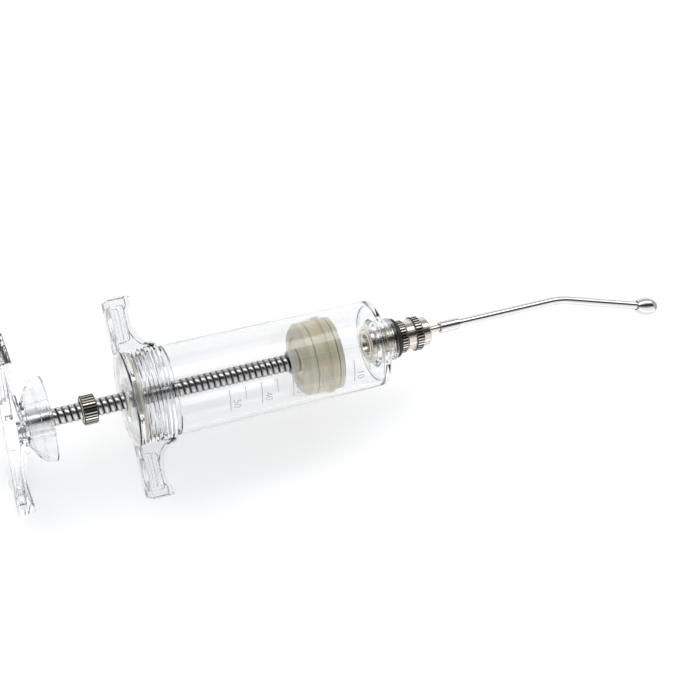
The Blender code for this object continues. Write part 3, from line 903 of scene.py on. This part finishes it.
class DOSING_OT_rod(Maker):
    """Makes the threaded rod and its stud"""

    bl_idname = "dosing.rod"
    bl_label = "Plunger rod"

    def execute(self, context):
        shoulder, stud, journal, screw_hole, hole_end = 68.2, 2.6, 3.45, 1.6, 72.0
        rope, rope_end = self.rope(along(ROD_BACK + 1), along(shoulder))
        core = (ROD_RADIUS - self.sizes.rod_depth) / MM - 0.15
        core_end = (rope_end - WINGS_BACK) / MM + 0.6
        section = [(core_end, 0), (core_end, core), (ROD_BACK, core), (ROD_BACK, 0)]
        inside = turned("rod_core", section, ROD_SIDES, closed=False)
        section = [
            (hole_end, 0),
            (hole_end, screw_hole),
            (ROD_END, screw_hole),
            (ROD_END, stud - 0.3),
            (ROD_END - 0.3, stud),
            (shoulder, stud),
            (shoulder, journal - 0.35),
            (shoulder - 0.4, journal),
            (shoulder - 2.6, journal),
            (shoulder - 3.0, journal - 0.65),
            (shoulder - 3.0, 0),
        ]
        rod = join([rope, inside, turned("rod_stud", section, ROD_SIDES, closed=False)])
        finish_piece(rod, "rod", "rod_steel", "plunger_rod", smoothing=50)
        return {"FINISHED"}

    def rope(self, start, limit):
        """The rounded thread, one wave screwed along the axis in whole turns, and the world X where it ends."""
        pitch, depth = self.sizes.rod_pitch, self.sizes.rod_depth
        rounds = int((limit - start) / pitch)
        steps, fullness = 14, 0.7
        wave = []
        for i in range(steps + 1):
            t = i / steps
            lift = max(0.0, sin(pi * t)) ** fullness
            wave.append((start + t * pitch, 0, ROD_RADIUS - depth + depth * lift))
        rope = outline("threaded_rod", wave, closed=False)
        turn(rope, ROD_SIDES, rise=pitch, rounds=rounds)
        return rope, start + rounds * pitch


class DOSING_OT_dose_nut(Maker):
    """Makes the knurled dose nut and the nylon ring in its back"""

    bl_idname = "dosing.dose_nut"
    bl_label = "Dose nut"

    def execute(self, context):
        teeth, depth = self.sizes.nut_teeth, self.sizes.knurl_depth
        back, front, radius = NUT_BACK, NUT_FRONT, NUT_RADIUS
        bore, seat, seat_depth = 3.8, 5.1, 1.5
        section = [
            (front, radius - 0.8),
            (front - 0.45, radius),
            (back + 0.45, radius),
            (back, radius - 0.8),
            (back, seat + 0.1),
            (back + seat_depth, seat),
            (back + seat_depth, bore),
            (front - 0.5, bore),
            (front, bore + 0.5),
        ]
        nut = turned("knurled_nut", section, teeth * COLUMNS)
        knurl(nut, back + 0.2, front - 0.2, teeth, depth, radius)
        finish_piece(nut, "nut", "dose_nut", "dose_nut", smoothing=30)
        back, front = ahead("dose_nut_ring")
        outer = seat - 0.3
        section = [*rounded(back, outer, 0.3, (-1, 1)), (back, bore), (front, bore), (front, outer)]
        ring = turned("nut_ring", list(reversed(section)), SMALL)
        finish_piece(ring, "nut_ring", "white_nylon", "dose_nut_ring")
        return {"FINISHED"}


class DOSING_OT_piston(Maker):
    """Makes the piston: its nut, two plates, rubber seal and screw"""

    bl_idname = "dosing.piston"
    bl_label = "Piston"

    def execute(self, context):
        radius, hole = 14.6, 2.9
        self.back_nut()
        self.back_plate(radius, hole)
        self.seal(radius, hole)
        self.front_plate(radius, hole)
        self.screw()
        return {"FINISHED"}

    def back_nut(self):
        """The nylon nut round the rod's end."""
        back, front = ahead("piston_back_nut")
        outer, bore = 4.8, 3.8
        section = [
            (front, outer - 0.5),
            (front - 0.4, outer),
            (back + 0.5, outer),
            (back, outer - 0.5),
            (back, bore),
            (front, bore),
        ]
        nut = turned("piston_nut", section, SMALL)
        finish_piece(nut, "piston", "white_nylon", "piston_back_nut")

    def back_plate(self, radius, hole):
        """The plate behind the seal, with a ring hollowed in its back."""
        back, front = ahead("piston_back_plate")
        hollow = 0.9
        section = [
            *rounded(front, radius, 0.3, (1, 1)),
            (back + 1.3, radius),
            (back + 1.1, radius - 0.2),
            (back + 0.1, radius - 1.5),
            (back, radius - 1.7),
            (back, 9.6),
            (back + hollow, 9.2),
            (back + hollow, 6.2),
            (back, 5.8),
            (back, hole),
            (front, hole),
        ]
        plate = turned("piston_rear_plate", section)
        finish_piece(plate, "piston", "ivory_plastic", "piston_back_plate")

    def seal(self, radius, hole):
        """The rubber seal, with one lip at the bore and a groove behind it."""
        back, front = ahead("piston_seal")
        lip, groove = self.sizes.bore / MM - 0.05, 13.9
        section = [
            *rounded(front, radius, 0.4, (1, 1)),
            (front - 1.7, radius),
            (front - 2.0, radius + 0.3),
            *rounded(front - 2.1, lip, 0.35, (1, 1)),
            *reversed(rounded(front - 3.2, lip, 0.35, (-1, 1))),
            (front - 3.3, groove + 0.5),
            (front - 3.5, groove),
            (front - 4.6, groove),
            (front - 5.0, radius - 0.3),
            (front - 5.3, radius),
            *reversed(rounded(back, radius, 0.5, (-1, 1))),
            (back, hole),
            (front, hole),
        ]
        seal = turned("rubber_seal", section)
        finish_piece(seal, "piston", "ivory_silicone", "piston_seal")

    def front_plate(self, radius, hole):
        """The plate before the seal, with a seat for the screw's head."""
        back, front = ahead("piston_front_plate")
        seat, seat_depth = 3.9, 1.7
        section = [
            *rounded(front, radius, 0.8, (1, 1)),
            *reversed(rounded(back, radius, 0.2, (-1, 1))),
            (back, hole),
            (front - seat_depth, hole),
            (front - seat_depth, seat),
            (front, seat),
        ]
        plate = turned("piston_front_plate_moulding", section)
        finish_piece(plate, "piston", "ivory_plastic", "piston_front_plate")

    def screw(self):
        """The slotted screw that holds the plates on the rod."""
        back, front = ahead("piston_screw")
        head, head_height, shank = 3.55, 1.4, 1.3
        section = [
            (front, 0),
            (front, head - 0.35),
            (front - 0.3, head),
            (front - head_height, head),
            (front - head_height, shank),
            (back + 0.3, shank),
            (back, shank - 0.3),
            (back, 0),
        ]
        screw = turned("slotted_screw", section, SMALL, closed=False)
        slot_depth, slot_width, slot_length = 0.7, 0.8, 9
        size = (2 * slot_depth * MM, slot_width * MM, slot_length * MM)
        deselect()
        bpy.ops.mesh.primitive_cube_add(size=1, location=(along(front), 0, 0), scale=size)
        cutter = bpy.context.object
        settle(cutter)
        boolean(screw, cutter, "DIFFERENCE")
        finish_piece(screw, "piston", "steel", "piston_screw")


class DOSING_OT_nose(Maker):
    """Makes the nickel nose fitting with its knurled ring, its nut and its black gasket"""

    bl_idname = "dosing.nose"
    bl_label = "Nose fitting"

    def execute(self, context):
        self.fitting()
        self.nut_and_gasket()
        return {"FINISHED"}

    def fitting(self):
        """The turned fitting, from the cone at its tip back to the funnel in its end."""
        teeth, depth = self.sizes.nose_teeth, self.sizes.knurl_depth
        back, tip = ahead("nose_fitting")
        ring_back, ring_front = 111.4, 114.3
        radius, bore, cone, waist, neck, crest = RING_RADIUS, 1.1, 2.0, 3.4, 4.9, 5.9
        section = [
            (tip, bore),
            (tip, cone),
            (FITTING_STEP, cone + 0.2),
            (FITTING_STEP, waist),
            (ring_front, waist),
            (ring_front, radius - 0.8),
            (ring_front - 0.35, radius),
            (ring_back + 0.35, radius),
            (ring_back, radius - 0.8),
            (ring_back, neck),
            (NECK_END, neck),
            *thread(NECK_END - 0.5, back + 0.8, NOSE_PITCH, crest - 0.45, crest),
            (back + 0.3, crest),
            (back, crest - 0.3),
            (back, 4.2),
            (back + 2.0, 3.6),
            (back + 3.0, bore),
        ]
        fitting = turned("nose_fitting_turned", section, teeth * COLUMNS)
        knurl(fitting, ring_back + 0.2, ring_front - 0.2, teeth, depth, radius)
        finish_piece(fitting, "barrel_body", "nose_fitting", "nose_fitting", smoothing=30)

    def nut_and_gasket(self):
        """The ring nut inside the barrel and the black gasket before its neck."""
        back, front = ahead("nose_nut")
        outer, bore, chamfer = 7.8, 6.2, 0.3
        section = [
            (front, outer - 0.2),
            (front - chamfer, outer),
            (back + chamfer, outer),
            (back, outer - chamfer),
            (back, bore + chamfer),
            (back + chamfer, bore),
            (front, bore),
        ]
        nut = turned("nose_ring_nut", section)
        finish_piece(nut, "barrel_body", "nickel", "nose_nut")
        back, front = ahead("nose_gasket")
        outer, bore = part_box("nose_gasket")[1][1] / MM, 5.2
        section = [
            *rounded(front, outer, 0.5, (1, 1)),
            *reversed(rounded(back, outer, 0.5, (-1, 1))),
            (back, bore),
            (front, bore),
        ]
        gasket = turned("rubber_gasket", section)
        finish_piece(gasket, "barrel_body", "dark_rubber", "nose_gasket")


class DOSING_OT_collar(Maker):
    """Makes the knurled lock collar"""

    bl_idname = "dosing.collar"
    bl_label = "Lock collar"

    def execute(self, context):
        teeth, depth = self.sizes.nose_teeth, self.sizes.knurl_depth
        back, front, radius = COLLAR_BACK, COLLAR_FRONT, COLLAR_RADIUS
        shoulder = back + 3.4
        sleeve, hole, inside = 6.1, 3.7, 5.0
        section = [
            (front, radius - 0.7),
            (front - 0.35, radius),
            (shoulder + 0.35, radius),
            (shoulder, radius - 0.7),
            (shoulder - 0.1, sleeve),
            (back + 0.3, sleeve),
            (back, sleeve - 0.3),
            (back, hole),
            (FITTING_STEP, hole),
            (FITTING_STEP, inside),
            (front - 0.4, inside),
            (front, inside + 0.4),
        ]
        collar = turned("knurled_collar", section, teeth * COLUMNS)
        knurl(collar, shoulder + 0.2, front - 0.2, teeth, depth, radius)
        finish_piece(collar, "collar", "lock_collar", "lock_collar", smoothing=30)
        return {"FINISHED"}


class DOSING_OT_needle(Maker):
    """Makes the needle: its hub, ferrule, bent tube and ball tip"""

    bl_idname = "dosing.needle"
    bl_label = "Needle"

    def execute(self, context):
        self.hub()
        self.ferrule()
        self.tube()
        self.ball()
        return {"FINISHED"}

    def hub(self):
        """The nickel hub, with its flange against the collar and its lip inside it."""
        back, front = ahead("needle_hub")
        flange_back, flange_front, cone_end = 121.6, 125.2, 121.4
        flange, stem, body, lip, lip_width, bore = 6.1, 1.5, 3.4, 4.4, 1.2, 1.1
        section = [
            (front, bore),
            (front, stem),
            (flange_front + 1.2, stem),
            (flange_front + 0.4, stem + 0.4),
            (flange_front, stem + 1.1),
            *rounded(flange_front, flange, 1.3, (1, 1), 6),
            *reversed(rounded(flange_back, flange, 0.3, (-1, 1))),
            (flange_back, body),
            (back + lip_width, body),
            (back + lip_width, lip),
            (back, lip),
            (back, 2.6),
            (cone_end, 2.4),
            (cone_end, bore),
        ]
        hub = turned("needle_hub_turned", section, MIDDLE)
        finish_piece(hub, "needle", "nickel", "needle_hub")

    def ferrule(self):
        """The steel sleeve that joins the hub's stem and the tube."""
        back, front = ahead("needle_ferrule")
        outer, chamfer, stem_hole, stem_end = 2.6, 0.25, 1.8, 132.0
        bore = self.sizes.needle / MM + 0.02
        section = [
            (front, outer - chamfer),
            (front - 0.2, outer),
            (back + 0.2, outer),
            (back, outer - chamfer),
            (back, stem_hole),
            (stem_end, stem_hole),
            (stem_end, bore),
            (front, bore),
        ]
        ferrule = turned("needle_ferrule_sleeve", section, SMALL)
        finish_piece(ferrule, "needle", "steel", "needle_ferrule")

    def tube(self):
        """A circle is extruded along the axis, spun through the bend and extruded on into the ball."""
        sizes = self.sizes
        into_ball, wall = 0.0035, 0.0005
        back = ahead("needle_tube")[0]
        tangent = sizes.bend_radius * tan(sizes.bend / 2)
        bend_start = WINGS_BACK + sizes.bend_at - tangent
        deselect()
        bpy.ops.mesh.primitive_circle_add(
            vertices=40, radius=sizes.needle, location=(along(back), 0, 0), rotation=(0, pi / 2, 0)
        )
        tube = bpy.context.object
        tube.name = tube.data.name = "bent_tube"
        settle(tube)
        edit(tube)
        bpy.ops.mesh.select_all(action="SELECT")
        bpy.ops.mesh.extrude_region_move(
            TRANSFORM_OT_translate={"value": (bend_start - along(back), 0, 0)}
        )
        bpy.ops.mesh.spin(
            steps=20, angle=sizes.bend, center=(bend_start, -sizes.bend_radius, 0), axis=(0, 0, 1)
        )
        ball_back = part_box("needle_ball")[0][0]
        reach = (ball_back + into_ball - (WINGS_BACK + sizes.bend_at)) / cos(sizes.bend) - tangent
        bpy.ops.mesh.extrude_region_move(
            TRANSFORM_OT_translate={"value": (reach * cos(sizes.bend), -reach * sin(sizes.bend), 0)}
        )
        bpy.ops.object.mode_set(mode="OBJECT")
        tidy(tube)
        apply_modifier(tube, "SOLIDIFY", thickness=wall, offset=-1)
        finish_piece(tube, "needle", "steel", "needle_tube")

    def ball(self):
        """The ball, turned about the world's origin and then set on the end of the tube."""
        sizes = self.sizes
        half, full_radius, end_radius = 4.7, 4.0, 2.3
        socket, socket_depth, outlet = 2.1, 4.2, 1.0
        points, reach = 24, 0.04135
        first = asin(end_radius / full_radius)
        side = []
        for i in range(points + 1):
            t = first + (pi - 2 * first) * i / points
            side.append((half * cos(t) / cos(first), full_radius * sin(t)))
        side[0] = (half - 0.15, end_radius + 0.05)
        section = [
            (half, end_radius - 0.2),
            *side,
            (-half, socket),
            (-half + socket_depth, socket),
            (-half + socket_depth, outlet),
            (half, outlet),
        ]
        ball = turned("ball_tip", [(x - WINGS_BACK / MM, radius) for x, radius in section], MIDDLE)
        ball.rotation_euler.z = -sizes.bend
        ball.location = (
            WINGS_BACK + sizes.bend_at + reach * cos(sizes.bend),
            -reach * sin(sizes.bend),
            0,
        )
        settle(ball)
        finish_piece(ball, "needle", "steel", "needle_ball")


class DOSING_OT_stage(Maker):
    """Lays the floor, sets the studio's lights and its dark card and places the camera"""

    bl_idname = "dosing.stage"
    bl_label = "Stage"

    VIEW_CENTRE = 91.34
    FLOOR_SIZE, FLOOR_GLOW = 3, 0.35

    def execute(self, context):
        aim = Vector((along(self.VIEW_CENTRE), 0, 0))
        self.floor(aim)
        self.lights(aim)
        self.camera(aim)
        return {"FINISHED"}

    def floor(self, aim):
        """A pale floor under the syringe. A faint glow keeps it white in the soft shadow."""
        colours = bpy.context.scene.syringe_colours
        deselect()
        bpy.ops.mesh.primitive_plane_add(size=self.FLOOR_SIZE, location=(aim.x, 0, CAD_BOX[0][2]))
        floor = bpy.context.object
        floor.name = "floor"
        look = Look("pale floor")
        grain = look.noise(1.5, 4)
        look.set(
            Base_Color=look.mix(grain, shade(colours.floor, 1.0), shade(colours.floor, 0.99)),
            Roughness=0.75 + grain * 0.1,
            Emission_Color=(1.0, 1.0, 1.0, 1.0),
            Emission_Strength=self.FLOOR_GLOW,
        )
        floor.data.materials.append(look.material)

    def softbox(self, name, place, aim, width, height, power):
        """A wide rectangular lamp that faces a place."""
        bpy.ops.object.light_add(type="AREA", location=place)
        lamp = bpy.context.object
        lamp.name = name
        lamp.data.shape = "RECTANGLE"
        lamp.data.size = width
        lamp.data.size_y = height
        lamp.data.energy = power
        lamp.rotation_euler = (Vector(aim) - Vector(place)).to_track_quat("-Z", "Y").to_euler()

    def card(self, name, place, aim, size):
        """A dark card high above the syringe, for the dark streaks in the metal."""
        deselect()
        bpy.ops.mesh.primitive_plane_add(size=1, location=place)
        card = bpy.context.object
        card.name = name
        card.scale = (size[0], size[1], 1)
        card.rotation_euler = (Vector(aim) - Vector(place)).to_track_quat("Z", "Y").to_euler()
        look = Look(name + " card")
        look.set(Base_Color=shade((0.03, 0.03, 0.03), 1.0), Roughness=0.9)
        card.data.materials.append(look.material)

    def lights(self, aim):
        """A soft grey surround, three softboxes and the dark card. The colours are shown without a film curve."""
        world = bpy.data.worlds.new("studio")
        bpy.context.scene.world = world
        world.use_nodes = True
        backdrop = world.node_tree.nodes["Background"]
        backdrop.inputs["Color"].default_value = (0.60, 0.61, 0.63, 1.0)
        backdrop.inputs["Strength"].default_value = 0.88
        bpy.context.scene.view_settings.view_transform = "Standard"
        x = aim.x
        middle = x + 0.1
        self.softbox("softbox_upper", (middle, 0.62, 0.66), (middle, 0, 0), width=2.2, height=0.36, power=6.2)
        self.softbox("softbox_lower", (middle, -0.66, 0.42), (middle, 0, 0), width=2.2, height=0.80, power=3.8)
        self.softbox("softbox_low", (middle, -1.0, 0.14), (middle, 0, 0.1), width=2.4, height=0.30, power=1.6)
        self.card("dark_strip", (x, 0, 0.75), (x, 0, 0), (2.4, 0.42))

    def camera(self, aim):
        """The camera looks down at the syringe, a little along it towards the needle, and leans to one side."""
        tilt, roll = radians(18.5), radians(13.1)
        distance, lens, sensor, shift = 0.540, 69.43, 36, -0.00243
        ahead_of_camera = Vector((sin(tilt), 0, -cos(tilt)))
        level = Vector((cos(tilt), 0, sin(tilt)))
        upright = Vector((0, 1, 0))
        right = level * cos(roll) - upright * sin(roll)
        up = level * sin(roll) + upright * cos(roll)
        data = bpy.data.cameras.new("camera")
        camera = bpy.data.objects.new("camera", data)
        bpy.context.scene.collection.objects.link(camera)
        turned_frame = Matrix((right, up, -ahead_of_camera)).transposed()
        camera.matrix_world = Matrix.Translation(aim - ahead_of_camera * distance) @ turned_frame.to_4x4()
        data.sensor_width = sensor
        data.lens = lens
        data.shift_y = shift
        data.clip_start = 0.01
        data.dof.use_dof = False
        bpy.context.scene.camera = camera


class DOSING_PT_panel(bpy.types.Panel):
    """Lists the syringe's operators in the 3D view's sidebar"""

    bl_idname = "DOSING_PT_panel"
    bl_label = "Dosing Syringe"
    bl_space_type = "VIEW_3D"
    bl_region_type = "UI"
    bl_category = "Syringe"

    def draw(self, context):
        for step in STEPS:
            self.layout.operator(step.bl_idname)
        for name in SyringeSizes.__annotations__:
            self.layout.prop(context.scene.syringe_sizes, name)
        for name in SyringeColours.__annotations__:
            self.layout.prop(context.scene.syringe_colours, name)


STEPS = (
    DOSING_OT_barrel,
    DOSING_OT_scale,
    DOSING_OT_rear_cap,
    DOSING_OT_cap_fittings,
    DOSING_OT_handle,
    DOSING_OT_rod,
    DOSING_OT_dose_nut,
    DOSING_OT_piston,
    DOSING_OT_nose,
    DOSING_OT_collar,
    DOSING_OT_needle,
    DOSING_OT_stage,
)
CLASSES = (SyringeSizes, SyringeColours, *STEPS, DOSING_PT_panel)


def register():
    """Registers the classes and hangs the sizes and colours on the scene."""
    for made in CLASSES:
        bpy.utils.register_class(made)
    bpy.types.Scene.syringe_sizes = bpy.props.PointerProperty(type=SyringeSizes)
    bpy.types.Scene.syringe_colours = bpy.props.PointerProperty(type=SyringeColours)


def unregister():
    """Undoes register."""
    del bpy.types.Scene.syringe_colours
    del bpy.types.Scene.syringe_sizes
    for made in reversed(CLASSES):
        bpy.utils.unregister_class(made)


def main():
    """Builds the syringe and its stage."""
    register()
    scene = bpy.context.scene
    make_finishes(scene.syringe_colours, scene.syringe_sizes)
    bpy.ops.dosing.barrel()
    bpy.ops.dosing.scale()
    bpy.ops.dosing.rear_cap()
    bpy.ops.dosing.cap_fittings()
    bpy.ops.dosing.handle()
    bpy.ops.dosing.rod()
    bpy.ops.dosing.dose_nut()
    bpy.ops.dosing.piston()
    bpy.ops.dosing.nose()
    bpy.ops.dosing.collar()
    bpy.ops.dosing.needle()
    bpy.ops.dosing.stage()


if __name__ == "__main__":
    main()
